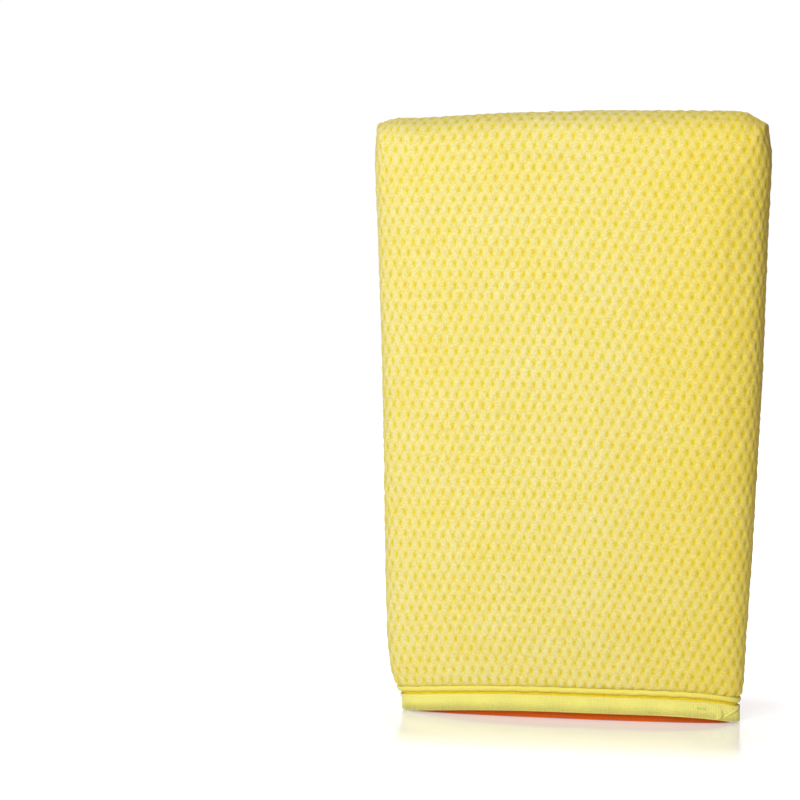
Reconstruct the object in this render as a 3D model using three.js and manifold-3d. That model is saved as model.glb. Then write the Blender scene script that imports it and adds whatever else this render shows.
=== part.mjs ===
// Clay mitt for car detailing: a soft, two-sided wash mitt standing upright on its open cuff.
// Front (-Y): waffle-weave microfibre over foam. Back (+Y): synthetic clay polymer over foam.
// Millimetres. +Z up, towards the fingertip end. The origin is under the middle, on the rest plane.
import * as THREE from 'three';
import { mergeVertices } from 'three/addons/utils/BufferGeometryUtils.js';
import Module from 'manifold-3d';

// ---------- driving dimensions ----------
const HEIGHT = 230;          // mouth to fingertip end
const END_ROUNDING = 13;     // how far down the fingertip end starts to close
const CORNER_RADIUS = 8;     // the two fingertip corners, seen from the front
const GAP = 0.3;             // clearance between touching layers

// stations of the outer skin: height, half width, half depth, squareness of the section
const STATIONS = [
  { z: -4, width: 61.6, depth: 11.4, square: 2.1 },
  { z: 0, width: 62.6, depth: 11.7, square: 2.1 },
  { z: 10, width: 64.0, depth: 12.0, square: 2.3 },
  { z: 16, width: 66.6, depth: 13.2, square: 2.9 },
  { z: 30, width: 68.6, depth: 14.3, square: 4.0 },
  { z: 60, width: 70.2, depth: 14.9, square: 5.6 },
  { z: 130, width: 71.8, depth: 15.0, square: 6.5 },
  { z: 190, width: 73.5, depth: 14.8, square: 6.5 },
  { z: HEIGHT, width: 73.8, depth: 14.4, square: 6.5 },
];
const EDGE_ROUNDNESS = 2.8;  // exponent across the depth: 2 is an ellipse, larger is flatter sides

// layers, as distances in from the outer skin: at the cuff, where the stack is sewn flat, and in the body
const LAYERS = {
  waffleOuter: { cuff: 2.2, body: 0 },
  waffleInner: { cuff: 3.2, body: 3.0 },
  clothOuter: { cuff: 2.2, body: 1.8 },
  clothInner: { cuff: 3.0, body: 2.6 },
  foamOuter: { cuff: 3.5, body: 3.3 },
  foamInner: { cuff: 4.6, body: 8.3 },
  liningOuter: { cuff: 4.9, body: 8.6 },
  liningInner: { cuff: 5.5, body: 9.4 },
};
const flatLayer = (inset) => ({ cuff: inset, body: inset });
const CLAY_THICKNESS = 1.5;
const STACK_FREE_FROM = 15;  // height where the layers start to leave the sewn cuff
const STACK_FREE_TO = 48;    // height where they have their full thickness

// the cuff
const BAND_HEIGHT = 6.4;
const BAND_THICKNESS = 1.2;
const STITCH = { z: 6.95, radius: 0.3, depth: 1.0 };
const PIPING = { z: 8.5, radius: 1.0, depth: 0.75 };
const SKIN_START = 9.8;      // the panels bulge out again just above the piping
const FACING = { top: 14.3, outer: 3.5, inner: 4.5 };
const STACK_FOOT = 17.5;     // height where the foams and linings start, clear of the facing
const HEM_START = 2;         // height above the mouth where the raw hems end inside the cuff
const ARCH_HEIGHT = 2.9;     // lift of the cuff's front edge above the rest plane
const ARCH_FADE = { from: 14, to: 70 };
const ARCH_POWER = { left: 2.2, right: 6 };
const TAB = { from: 0.75, to: 0.93, thickness: 0.8, low: 0.4, high: 6.0 };  // from and to: of the half width
const TACK = { from: 0.86, to: 0.93, thickness: 0.5, low: 1.2, high: 5.2 };

// the perimeter seam
const SEAM = { body: 9, cuff: 7.2, groove: 0.9, thread: 0.5, threadOuter: 0.5, threadInner: 1.6 };
const ALLOWANCE = { low: 6.4, high: 8.6, reach: 8.7 };
const CLAY_PAD_EDGE = 9;     // the clay pad stops short of the seam allowance

const SIDE_STEPS = 15;       // facets across one face of a section, odd so that a flat one lies in the middle
const RING_STEPS = 2 * SIDE_STEPS;
const END_STEPS = 5;         // rings in the rounded fingertip end
const CUFF_LEVELS = [-4, 0, SKIN_START, 11.3, 12.8, FACING.top];
const BODY_LEVELS = [16, 22, 30, 40, 60, 100, 150, 190];

// ---------- the shape of the mitt ----------
const smooth = (from, to, v) => THREE.MathUtils.smoothstep(v, from, to);
const mix = THREE.MathUtils.lerp;

// Reads one value of the stations at a height, with straight runs between them.
function atHeight(z, key) {
  const last = STATIONS.length - 1;
  const upper = Math.min(Math.max(STATIONS.findIndex((s) => s.z >= z), 1), last);
  const above = z > STATIONS[last].z ? STATIONS[last] : STATIONS[upper];
  const below = STATIONS[upper - 1];
  const t = THREE.MathUtils.clamp((z - below.z) / (above.z - below.z), 0, 1);
  return mix(below[key], above[key], t);
}

// A layer's distance in from the skin: thin where the cuff is sewn, full in the body.
function layerInset(layer, z) {
  const from = layer.skin ? SKIN_START : STACK_FREE_FROM;
  const to = layer.skin ? SKIN_START + 3 : STACK_FREE_TO;
  return mix(layer.cuff, layer.body, smooth(from, to, z));
}

// Lift of the front of the cuff, strongest in the middle and fading out up the body.
function archLift(across, isFront, z) {
  if (!isFront) return 0;
  const power = across < 0 ? ARCH_POWER.left : ARCH_POWER.right;
  return ARCH_HEIGHT * (1 - Math.abs(across) ** power) * (1 - smooth(ARCH_FADE.from, ARCH_FADE.to, z));
}

// Places round a section: i runs over the front face from left to right, then back.
const onFront = (i) => i < SIDE_STEPS;
const acrossAt = (i) => Math.sin(Math.PI * ((onFront(i) ? i : RING_STEPS - i) / SIDE_STEPS - 0.5));

// Point of a section; closing runs from 0 to 1 as the fingertip end rounds over.
function sectionPoint(i, z, side, face, closing = 0) {
  const across = acrossAt(i);
  const square = atHeight(z, 'square');
  const edge = (1 - Math.abs(across) ** square) ** (1 / EDGE_ROUNDNESS);
  const cornerLoss = closing > 0 ? CORNER_RADIUS * (1 - Math.sqrt(1 - closing ** 2)) : 0;
  const halfWidth = atHeight(z, 'width') - side - cornerLoss;
  const halfDepth = (atHeight(z, 'depth') - face) * Math.sqrt(1 - closing ** 2.5);
  const lift = archLift(across, onFront(i), z);
  return new THREE.Vector3(halfWidth * across, (onFront(i) ? -1 : 1) * halfDepth * edge, z + lift);
}

// ---------- mesh builders ----------
function geometryFrom(points, faces) {
  const geometry = new THREE.BufferGeometry();
  geometry.setAttribute('position', new THREE.Float32BufferAttribute(points.flatMap((p) => p.toArray()), 3));
  geometry.setIndex(faces.flat());
  return geometry;
}

// Closed solid through a stack of rings, capped by a fan at each end.
function solidFromRings(rings) {
  const points = rings.flat();
  const count = rings[0].length;
  const faces = [];
  for (let r = 0; r + 1 < rings.length; r += 1) {
    for (let i = 0; i < count; i += 1) {
      const [a, b] = [r * count + i, r * count + ((i + 1) % count)];
      faces.push([a, b, b + count], [a, b + count, a + count]);
    }
  }
  for (const [ring, isTop] of [[0, false], [rings.length - 1, true]]) {
    const centre = points.length;
    const sum = rings[ring].reduce((total, p) => total.add(p), new THREE.Vector3());
    points.push(sum.divideScalar(count));
    for (let i = 0; i < count; i += 1) {
      const [a, b] = [ring * count + i, ring * count + ((i + 1) % count)];
      faces.push(isTop ? [centre, a, b] : [centre, b, a]);
    }
  }
  return geometryFrom(points, faces);
}

// Everything inside the skin moved in by a layer; side and face are extra insets for prisms and sheets.
function layerBody(layer, { side = 0, face = 0 } = {}) {
  const top = HEIGHT - layer.body - side;
  const closeFrom = top - Math.max(END_ROUNDING - layer.body, 6);
  const levels = [...CUFF_LEVELS, ...BODY_LEVELS].map((z) => ({ z, closing: 0 }));
  for (let i = 0; i <= END_STEPS; i += 1) {
    const closing = Math.sin((Math.PI / 2) * 0.93 * (i / END_STEPS));
    levels.push({ z: closeFrom + (top - closeFrom) * closing, closing });
  }
  const rings = levels.map(({ z, closing }) => {
    const inset = layerInset(layer, z);
    const ring = [];
    for (let i = 0; i < RING_STEPS; i += 1) {
      ring.push(sectionPoint(i, z, inset + side, inset + face, closing));
    }
    return ring;
  });
  return solidFromRings(rings);
}

// Band that follows the skin: a rectangular section carried round the mouth, or part of the way.
// corners lists, for a place round the mouth, the section's [depth in from the skin, height] points.
function cuffStrip(corners, { start = 0, end = RING_STEPS, closed = true } = {}) {
  const points = [];
  const columns = closed ? end - start : end - start + 1;
  for (let c = 0; c < columns; c += 1) {
    const i = (start + c) % RING_STEPS;
    for (const [depth, z] of corners(i)) points.push(sectionPoint(i, z, depth, depth));
  }
  const size = corners(start).length;
  const faces = [];
  for (let c = 0; c < (closed ? columns : columns - 1); c += 1) {
    for (let k = 0; k < size; k += 1) {
      const [a, b] = [c * size + k, c * size + ((k + 1) % size)];
      const [a2, b2] = [((c + 1) % columns) * size + k, ((c + 1) % columns) * size + ((k + 1) % size)];
      faces.push([a, b2, a2], [a, b, b2]);
    }
  }
  if (!closed) {
    const lastColumn = (columns - 1) * size;
    for (let k = 1; k + 1 < size; k += 1) {
      faces.push([0, k + 1, k], [lastColumn, lastColumn + k, lastColumn + k + 1]);
    }
  }
  return geometryFrom(points, faces);
}

// Round section for a cord or thread that lies against the skin.
function cordCorners({ z, radius, depth }, sides) {
  const corners = [];
  for (let k = 0; k < sides; k += 1) {
    const angle = (2 * Math.PI * k) / sides;
    corners.push([depth - radius * Math.cos(angle), z - radius * Math.sin(angle)]);
  }
  return () => corners;
}

// Upright wall section between two depths, from its foot through the given heights.
function wallCorners(outer, inner, foot, heights) {
  const upwards = (depth) => heights.map((z) => [depth, z]);
  return (i) => [[outer, foot(i)], [inner, foot(i)], ...upwards(inner), ...upwards(outer).reverse()];
}

// ---------- booleans ----------
const wasm = await Module();
wasm.setup();

function toSolid(geometry) {
  const clean = geometry.clone();
  clean.deleteAttribute('normal');
  clean.deleteAttribute('uv');
  const merged = mergeVertices(clean, 1e-4);
  return new wasm.Manifold(new wasm.Mesh({
    numProp: 3,
    vertProperties: new Float32Array(merged.attributes.position.array),
    triVerts: new Uint32Array(merged.index.array),
  }));
}

function toGeometry(solid) {
  const mesh = solid.getMesh();
  const geometry = new THREE.BufferGeometry();
  geometry.setAttribute('position', new THREE.BufferAttribute(mesh.vertProperties, 3));
  geometry.setIndex(new THREE.BufferAttribute(mesh.triVerts, 1));
  return geometry;
}

const REACH = 120;           // half size of a cutting block, larger than the mitt's half width

// Everything between two heights.
function slabBetween(low, high) {
  const box = new THREE.BoxGeometry(2 * REACH, 2 * REACH, high - low);
  box.translate(0, 0, (low + high) / 2);
  return toSolid(box);
}

// Everything between two depths, which may differ at the cuff and in the body.
function depthBetween(low, high) {
  const corner = ({ cuff, body }) => [[cuff, -10], [cuff, 12], [body, 40], [body, HEIGHT + 10]];
  const outline = [...corner(low), ...corner(high).reverse()].map(([y, z]) => new THREE.Vector2(y, z));
  const sweep = { depth: 2 * REACH, bevelEnabled: false };
  const block = new THREE.ExtrudeGeometry(new THREE.Shape(outline), sweep);
  block.translate(0, 0, -REACH);
  block.applyMatrix4(new THREE.Matrix4().makeBasis(
    new THREE.Vector3(0, 1, 0), new THREE.Vector3(0, 0, 1), new THREE.Vector3(1, 0, 0),
  ));
  return toSolid(block);
}

const flat = (y) => ({ cuff: y, body: y });
const FAR_FRONT = flat(-REACH);
const FAR_BACK = flat(REACH);
const seamOffset = (offset) => ({ cuff: SEAM.cuff + offset, body: SEAM.body + offset });

// The space between two layers of the stack.
function shellBetween(outer, inner) {
  return toSolid(layerBody(outer)).subtract(toSolid(layerBody(inner)));
}

// The mitt's front outline moved in, and carried through the whole depth.
function outlinePrism(inset) {
  return toSolid(layerBody(flatLayer(0), { side: inset, face: -20 }));
}

// ---------- the pieces ----------
function waffleFrontPanel() {
  const { waffleOuter, waffleInner } = LAYERS;
  return shellBetween({ ...waffleOuter, skin: true }, waffleInner)
    .intersect(depthBetween(FAR_FRONT, seamOffset(-SEAM.groove)))
    .intersect(slabBetween(HEM_START + ARCH_HEIGHT, HEIGHT + 1));
}

function frontFoamPad() {
  return shellBetween(LAYERS.foamOuter, LAYERS.foamInner)
    .intersect(depthBetween(FAR_FRONT, flat(ALLOWANCE.low - GAP)))
    .intersect(slabBetween(STACK_FOOT, HEIGHT));
}

function lining(low, high) {
  return shellBetween(LAYERS.liningOuter, LAYERS.liningInner)
    .intersect(depthBetween(low, high))
    .intersect(slabBetween(STACK_FOOT, HEIGHT));
}

function clayFoamPad() {
  return shellBetween(LAYERS.foamOuter, LAYERS.foamInner)
    .intersect(outlinePrism(CLAY_PAD_EDGE))
    .intersect(depthBetween(flat(ALLOWANCE.low), FAR_BACK))
    .intersect(slabBetween(STACK_FOOT, HEIGHT));
}

function clayBackingCloth() {
  return shellBetween(LAYERS.clothOuter, LAYERS.clothInner)
    .intersect(depthBetween(seamOffset(SEAM.groove), FAR_BACK))
    .intersect(slabBetween(HEM_START, HEIGHT));
}

function clayPolymerFace() {
  return shellBetween(flatLayer(0), flatLayer(CLAY_THICKNESS))
    .intersect(depthBetween(seamOffset(SEAM.groove), FAR_BACK))
    .intersect(slabBetween(SKIN_START + GAP, HEIGHT + 1));
}

function seamAllowance() {
  return shellBetween(LAYERS.foamOuter, LAYERS.foamInner)
    .intersect(depthBetween(flat(ALLOWANCE.low), flat(ALLOWANCE.high)))
    .intersect(slabBetween(STACK_FOOT, HEIGHT))
    .subtract(outlinePrism(ALLOWANCE.reach));
}

function perimeterSeamThread() {
  return shellBetween(flatLayer(SEAM.threadOuter), flatLayer(SEAM.threadInner))
    .intersect(depthBetween(seamOffset(-SEAM.thread), seamOffset(SEAM.thread)))
    .intersect(slabBetween(SKIN_START + GAP, HEIGHT));
}

// Ring steps between two places on the front face, given as fractions of the half width.
function frontSteps(from, to) {
  const step = (across) => Math.round(SIDE_STEPS * (Math.asin(across) / Math.PI + 0.5));
  return { start: step(from), end: step(to), closed: false };
}

// The wall sections of the cuff's pieces, and where each one has its foot.
const level = (z) => () => z;
const restPlane = (i) => -archLift(acrossAt(i), onFront(i), 0);
const bandWall = wallCorners(0, BAND_THICKNESS, level(0), [BAND_HEIGHT]);
const facingWall = wallCorners(FACING.outer, FACING.inner, restPlane, CUFF_LEVELS.slice(2));
const tabWall = wallCorners(-GAP - TAB.thickness, -GAP, level(TAB.low), [TAB.high]);
const tackBack = -2 * GAP - TAB.thickness;
const tackWall = wallCorners(tackBack - TACK.thickness, tackBack, level(TACK.low), [TACK.high]);

const soft = (color, roughness = 0.9) => new THREE.MeshStandardMaterial({ color, roughness, metalness: 0 });

const PIECES = {
  waffle_front_panel: [toGeometry(waffleFrontPanel()), soft('#f2de79')],
  front_foam_pad: [toGeometry(frontFoamPad()), soft('#e9e2c8')],
  front_lining: [toGeometry(lining(FAR_FRONT, flat(-GAP / 2))), soft('#d2701c')],
  back_lining: [toGeometry(lining(flat(GAP / 2), FAR_BACK)), soft('#d2701c')],
  clay_foam_pad: [toGeometry(clayFoamPad()), soft('#e9e2c8')],
  clay_backing_cloth: [toGeometry(clayBackingCloth()), soft('#c9792c')],
  clay_polymer_face: [toGeometry(clayPolymerFace()), soft('#d9641a', 0.5)],
  seam_allowance: [toGeometry(seamAllowance()), soft('#ead66a')],
  perimeter_seam_thread: [toGeometry(perimeterSeamThread()), soft('#efdc70', 0.6)],
  cuff_band: [cuffStrip(bandWall), soft('#e7dc70')],
  cuff_stitch_row: [cuffStrip(cordCorners(STITCH, 6)), soft('#dcc02c', 0.6)],
  cuff_piping: [cuffStrip(cordCorners(PIPING, 8)), soft('#efe68c')],
  mouth_facing: [cuffStrip(facingWall), soft('#c85a10')],
  band_end_tab: [cuffStrip(tabWall, frontSteps(TAB.from, TAB.to)), soft('#e2d868')],
  band_bartack: [cuffStrip(tackWall, frontSteps(TACK.from, TACK.to)), soft('#d9c93c', 0.6)],
};

const mitt = new THREE.Group();
for (const [name, [shape, material]] of Object.entries(PIECES)) {
  const mesh = new THREE.Mesh(shape, material);
  mesh.name = name;
  mitt.add(mesh);
}

export default mitt;
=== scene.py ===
# %% [markdown]
# # A clay mitt, built round its CAD frame
# Yellow waffle cloth in front, an orange clay polymer sheet behind, sponge and a lined hand pocket between
# them, and an elastic cuff to stand on. Every piece is its own mesh. All of them are cut from one rule for
# the mitt's skin, so the layers nest as they do on the sewing table.

# %% Load the fixed frame
import math
import bmesh
import bpy
import numpy as np
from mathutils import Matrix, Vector, kdtree


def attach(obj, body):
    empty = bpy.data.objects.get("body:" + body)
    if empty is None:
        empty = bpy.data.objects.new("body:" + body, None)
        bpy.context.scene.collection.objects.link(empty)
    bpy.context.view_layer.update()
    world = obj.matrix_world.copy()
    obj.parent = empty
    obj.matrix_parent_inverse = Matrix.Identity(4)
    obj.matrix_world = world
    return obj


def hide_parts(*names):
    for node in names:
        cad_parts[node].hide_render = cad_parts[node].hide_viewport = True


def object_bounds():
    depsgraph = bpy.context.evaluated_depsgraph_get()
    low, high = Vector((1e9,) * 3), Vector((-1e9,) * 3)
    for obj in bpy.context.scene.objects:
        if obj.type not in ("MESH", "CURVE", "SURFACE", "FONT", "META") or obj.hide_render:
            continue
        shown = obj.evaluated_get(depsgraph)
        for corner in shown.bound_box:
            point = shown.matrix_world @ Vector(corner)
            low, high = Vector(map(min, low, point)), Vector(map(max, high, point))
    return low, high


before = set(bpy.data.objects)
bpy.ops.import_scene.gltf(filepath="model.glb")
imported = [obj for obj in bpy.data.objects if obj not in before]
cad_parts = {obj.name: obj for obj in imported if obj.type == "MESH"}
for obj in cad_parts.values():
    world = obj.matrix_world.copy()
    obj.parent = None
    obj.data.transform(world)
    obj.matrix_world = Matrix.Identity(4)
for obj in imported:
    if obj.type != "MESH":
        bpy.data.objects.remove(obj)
cad_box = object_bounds()
scene = bpy.context.scene
MM = 0.001
print("CAD nodes:", sorted(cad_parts))
print("CAD box in mm:", [[round(v / MM, 1) for v in corner] for corner in cad_box])

# %% [markdown]
# ## Camera first
# A long lens looks almost level, a little from the mitt's right and past its left edge, so the mitt stands
# in the right half of the frame.

# %% Camera
CAMERA_AZIMUTH = math.radians(9.4)  # round the mitt, towards its right side
CAMERA_DISTANCE = 0.950
CAMERA_HEIGHT = 0.166
CAMERA_PITCH = math.radians(2.76)
CAMERA_PAN = math.radians(3.83)
CAMERA_LENS = 112.6  # millimetres


def linked(name, data):
    thing = bpy.data.objects.new(name, data)
    scene.collection.objects.link(thing)
    return thing


camera_data = bpy.data.cameras.new("studio_camera")
camera_data.lens = CAMERA_LENS
camera = linked("studio_camera", camera_data)
camera.location = (CAMERA_DISTANCE * math.sin(CAMERA_AZIMUTH),
                   -CAMERA_DISTANCE * math.cos(CAMERA_AZIMUTH), CAMERA_HEIGHT)
camera.rotation_euler = (math.pi / 2 - CAMERA_PITCH, 0, CAMERA_AZIMUTH + CAMERA_PAN)
scene.camera = camera
print("camera at", [round(v, 3) for v in camera.location])

# %% [markdown]
# ## One rule for the skin
# A section across the mitt is a superellipse, an ellipse whose exponents make it squarer. It is nearly an
# ellipse at the cuff, and a flat box with soft edges in the body. A short table gives the half widths, half
# depth and squareness at a few heights, and a smoothing window rounds the steps between them.

# %% Stations of the skin
HALF_WIDTH = cad_box[1].x
HALF_DEPTH = cad_box[1].y
TOP = cad_box[1].z
STATION_Z = np.array([-6, 0, 10, 16, 30, 60, 130, 190, 240]) * MM
LEFT_SHARE = np.array([0.845, 0.856, 0.896, 0.920, 0.937, 0.943, 0.958, 0.986, 1.012])
RIGHT_SHARE = np.array([0.890, 0.894, 0.893, 0.903, 0.912, 0.938, 0.986, 1.012, 1.046])
DEPTH_SHARE = np.array([0.770, 0.780, 0.800, 0.880, 0.950, 0.990, 1.000, 0.985, 0.960])
SQUARENESS = np.array([2.2, 2.2, 2.6, 3.4, 5.5, 9.0, 12.0, 12.0, 12.0])
EDGE_EXPONENT = 3.2
FINE_Z = np.arange(STATION_Z[0], STATION_Z[-1], 0.5 * MM)
WINDOW = np.hanning(19)  # 9 mm tall at half a millimetre a step


def rounded_table(values):
    fine = np.interp(FINE_Z, STATION_Z, values)
    return np.convolve(np.pad(fine, len(WINDOW) // 2, mode="edge"), WINDOW / WINDOW.sum(), mode="valid")


TABLES = {"left": rounded_table(LEFT_SHARE * HALF_WIDTH), "right": rounded_table(RIGHT_SHARE * HALF_WIDTH),
          "depth": rounded_table(DEPTH_SHARE * HALF_DEPTH), "square": rounded_table(SQUARENESS)}


def station(key, z):
    return np.interp(z, FINE_Z, TABLES[key])


def half_width(side, z):
    """Half the skin's width at a height, left of the middle where side is negative."""
    return np.where(side < 0, station("left", z), station("right", z))


def smooth(start, end, value):
    share = np.clip((value - start) / (end - start), 0, 1)
    return share * share * (3 - 2 * share)


def depth_share(across, square):
    return np.maximum(1 - np.abs(across) ** square, 0) ** (1 / EDGE_EXPONENT)


print("skin at mid height: %.1f mm wide" % ((station("left", 0.115) + station("right", 0.115)) / MM))

# %% [markdown]
# ## Layers
# Each layer is the skin moved in. The stack is sewn flat at the cuff, so the distances grow over the first
# few centimetres. The two outermost skins do the opposite, because the crease pinches them in.

# %% Layer table
LAYERS = {  # millimetres at the cuff and in the body
    "skin": (0.0, 0.0), "waffle_outer": (1.4, 0.0), "waffle_inner": (3.2, 3.0), "clay_outer": (0.4, 0.0),
    "clay_inner": (1.6, 1.5), "cloth_outer": (2.2, 1.8), "cloth_inner": (3.0, 2.6), "foam_outer": (3.5, 3.3),
    "foam_inner": (4.6, 8.3), "lining_outer": (4.9, 8.6), "lining_inner": (5.5, 9.4),
}
STACK_RAMP = (15 * MM, 48 * MM)
SKIN_RAMP = (8.9 * MM, 11.4 * MM)


def layer_inset(layer, z):
    cuff, body = LAYERS[layer]
    start, end = SKIN_RAMP if layer in ("waffle_outer", "clay_outer") else STACK_RAMP
    return (cuff + (body - cuff) * smooth(start, end, z)) * MM


# %% [markdown]
# ## How the sewn mitt sits
# The front of the cuff arches off the floor, the fingertip end sags towards its corners, and the face has
# shallow swells. These small moves are smooth functions that every layer follows alike.

# %% The hang of the mitt
ARCH_HEIGHT = 2.9 * MM
ARCH_POWERS = (2.2, 6.0)  # left and right of the middle. More keeps the arch flat
ARCH_FADE = (14 * MM, 70 * MM)  # it dies out between these heights
ARCH_DEEP = 4 * MM  # and grows to full height over this depth
FOOT_ROUND = 2.0 * MM  # the cuff's two lower corners are rounded up by this
FOOT_SHARE, FOOT_TALL = 0.955, 4 * MM  # from this share of the half width, and so far up
END_X = np.array([-72, -58, -25, 15, 50, 66, 75]) * MM
END_DIP = np.array([2.1, 2.9, 1.4, 1.0, 1.7, 2.1, 3.4]) * MM  # the fingertip end's sag there
SAG_START = 175 * MM
SWELLS = [  # across mm, up mm, radius across mm, radius up mm, height mm
    (14, 95, 12, 60, 0.6), (-30, 150, 28, 45, 0.4), (45, 60, 16, 40, -0.3), (-48, 60, 18, 38, 0.3),
    (38, 185, 22, 30, 0.3), (-10, 30, 30, 14, 0.4),
]
SWELL_FRONT = (-0.3, 0.8)  # they fade in between these shares of the half depth


def arch_lift(x, y, z):
    across = np.clip(x / half_width(x, 0.0), -1, 1)
    power = np.where(across < 0, *ARCH_POWERS)
    in_front = smooth(0, ARCH_DEEP, -y)
    arch = ARCH_HEIGHT * (1 - np.abs(across) ** power) * in_front * (1 - smooth(*ARCH_FADE, z))
    return arch + FOOT_ROUND * smooth(FOOT_SHARE, 1.0, np.abs(across)) * (1 - smooth(0, FOOT_TALL, z))


def hang(points, arched=True):
    """Moves points of the regular mitt to where the sewn one sits. The facing isn't arched."""
    x, y, z = points.T
    frontness = smooth(*SWELL_FRONT, -y / HALF_DEPTH)
    swell = sum(height * MM * np.exp(-((x / MM - cx) / rx) ** 2 - ((z / MM - cz) / rz) ** 2)
                for cx, cz, rx, rz, height in SWELLS)
    dip = np.interp(x, END_X, END_DIP) * smooth(SAG_START, TOP, z)
    moved = points.copy()
    moved[:, 1] -= swell * frontness
    moved[:, 2] += arch_lift(x, y, z) * arched - dip
    return moved


# %% [markdown]
# ## Padding by cloth simulation
# Foam presses the covers outwards, and the seam and the cuff hold them back. A rough closed body is
# remeshed, pinned where the mitt is sewn, and blown up. Only its push to the front and to the back is
# kept, as two small maps that move every layer alike, so the layers stay nested.

# %% Rough body
END_RADIUS = 13 * MM  # rounding of the fingertip end
END_POWER = 2.5  # 2 would make it an ellipse, and more is squarer
SEAM_SHARE = 0.6  # how far behind the middle, as a share of the half depth
CLOSING_LOSS = 8 * MM  # how much narrower the end is at its tip
RING_POINTS = 25


def body_ring(z, closing):
    across = np.sin(np.linspace(-math.pi / 2, math.pi / 2, RING_POINTS))
    half = half_width(across, z) - CLOSING_LOSS * (1 - math.sqrt(1 - closing ** 2))
    deep = station("depth", z) * depth_share(across, station("square", z))
    deep = deep * math.sqrt(1 - closing ** END_POWER)
    front = np.stack([across * half, -deep, np.full(RING_POINTS, z)], axis=-1)
    back = (front * [1, -1, 1])[-2:0:-1]
    return np.concatenate([front, back])


def make_object(name, points, faces):
    """A mesh object with its faces turned outwards."""
    mesh = bpy.data.meshes.new(name)
    mesh.from_pydata(np.asarray(points).tolist(), [], [list(map(int, f)) for f in faces])
    mesh.validate()
    shape = bmesh.new()
    shape.from_mesh(mesh)
    bmesh.ops.recalc_face_normals(shape, faces=shape.faces)
    open_edges = sum(len(edge.link_faces) != 2 for edge in shape.edges)
    volume = shape.calc_volume(signed=True)
    if volume < 0:
        bmesh.ops.reverse_faces(shape, faces=shape.faces)
    shape.to_mesh(mesh)
    shape.free()
    mesh.shade_smooth()
    print(f"{name}: {len(mesh.polygons)} faces, {open_edges} open edges, {abs(volume) * 1e6:.2f} ml")
    return linked(name, mesh)


def swept(name, rings, closed):
    """Skins a run of equal rings. An open run gets a flat cap at each end."""
    rings = np.asarray(rings)
    count, around = rings.shape[:2]
    ids = np.arange(count * around).reshape(count, around)
    faces = []
    for k in range(count if closed else count - 1):
        near, far = ids[k], ids[(k + 1) % count]
        faces += [(near[j], near[(j + 1) % around], far[(j + 1) % around], far[j]) for j in range(around)]
    if not closed:
        faces += [tuple(ids[0][::-1]), tuple(ids[-1])]
    return make_object(name, rings.reshape(-1, 3), faces)


# %% Blow it up
PUFF_PRESSURE = 4.0
PUFF_FRAMES = 20
PUFF_CAP = 1.5 * MM
PUFF_VOXEL = 5 * MM
BODY_LEVELS = 40
END_TURNS = np.linspace(0.2, 1.5, 7)  # angles round the end
CUFF_HELD = 18 * MM
SEAM_HELD = 3 * MM
FACES_AWAY = 0.5  # a normal turned this far counts as front or back
NEIGHBOURS, NEIGHBOUR_SOFT = 8, 2 * MM  # the points behind a map value, and how evenly they count
PUSH_BLEND = 0.45  # the maps blend over this share of the half depth, both ways
MAP_STEP = 4 * MM
MAP_X = np.arange(-84, 85, 4) * MM
MAP_Z = np.arange(-8, 245, 4) * MM


def evaluated_mesh(piece):
    graph = bpy.context.evaluated_depsgraph_get()
    return bpy.data.meshes.new_from_object(piece.evaluated_get(graph), preserve_all_data_layers=True,
                                           depsgraph=graph)


def vertex_array(mesh, field):
    values = np.empty(len(mesh.vertices) * 3, np.float32)
    mesh.vertices.foreach_get(field, values)
    return values.reshape(-1, 3).astype(float)


def blow_up():
    levels = [(z, 0.0) for z in np.linspace(0, TOP - END_RADIUS, BODY_LEVELS)]
    levels += [(TOP - END_RADIUS + END_RADIUS * c, c) for c in np.sin(END_TURNS)]
    body = swept("rough_body", [body_ring(z, c) for z, c in levels], closed=False)
    remesh = body.modifiers.new("remesh", "REMESH")
    remesh.mode, remesh.voxel_size = "VOXEL", PUFF_VOXEL
    body.data = evaluated_mesh(body)
    body.modifiers.clear()
    rest = vertex_array(body.data, "co")
    facing = vertex_array(body.data, "normal")[:, 1]
    half = half_width(rest[:, 0], rest[:, 2])
    at_edge = (np.abs(rest[:, 0]) > half - SEAM_HELD) | (rest[:, 2] > TOP - SEAM_HELD)
    at_seam = at_edge & (np.abs(rest[:, 1] - SEAM_SHARE * HALF_DEPTH) < SEAM_HELD)
    held = body.vertex_groups.new(name="held")
    held.add(np.flatnonzero(at_seam | (rest[:, 2] < CUFF_HELD)).tolist(), 1.0, "REPLACE")
    cloth = body.modifiers.new("padding", "CLOTH")
    cloth.settings.quality = 5
    cloth.settings.vertex_group_mass = held.name
    cloth.settings.use_pressure = True
    cloth.settings.uniform_pressure_force = PUFF_PRESSURE
    cloth.settings.effector_weights.gravity = 0
    cloth.point_cache.frame_end = PUFF_FRAMES
    for step in range(1, PUFF_FRAMES + 1):
        scene.frame_set(step)
    blown = evaluated_mesh(body)
    push = vertex_array(blown, "co")[:, 1] - rest[:, 1]
    scene.frame_set(1)
    bpy.data.objects.remove(body)
    push = PUFF_CAP * np.tanh(push / PUFF_CAP)
    print("padding pushes the front by %.1f mm and the back by %.1f mm" % (-push.min() / MM, push.max() / MM))
    return [push_map(rest, push, facing * way > FACES_AWAY) for way in (-1, 1)]


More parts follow.
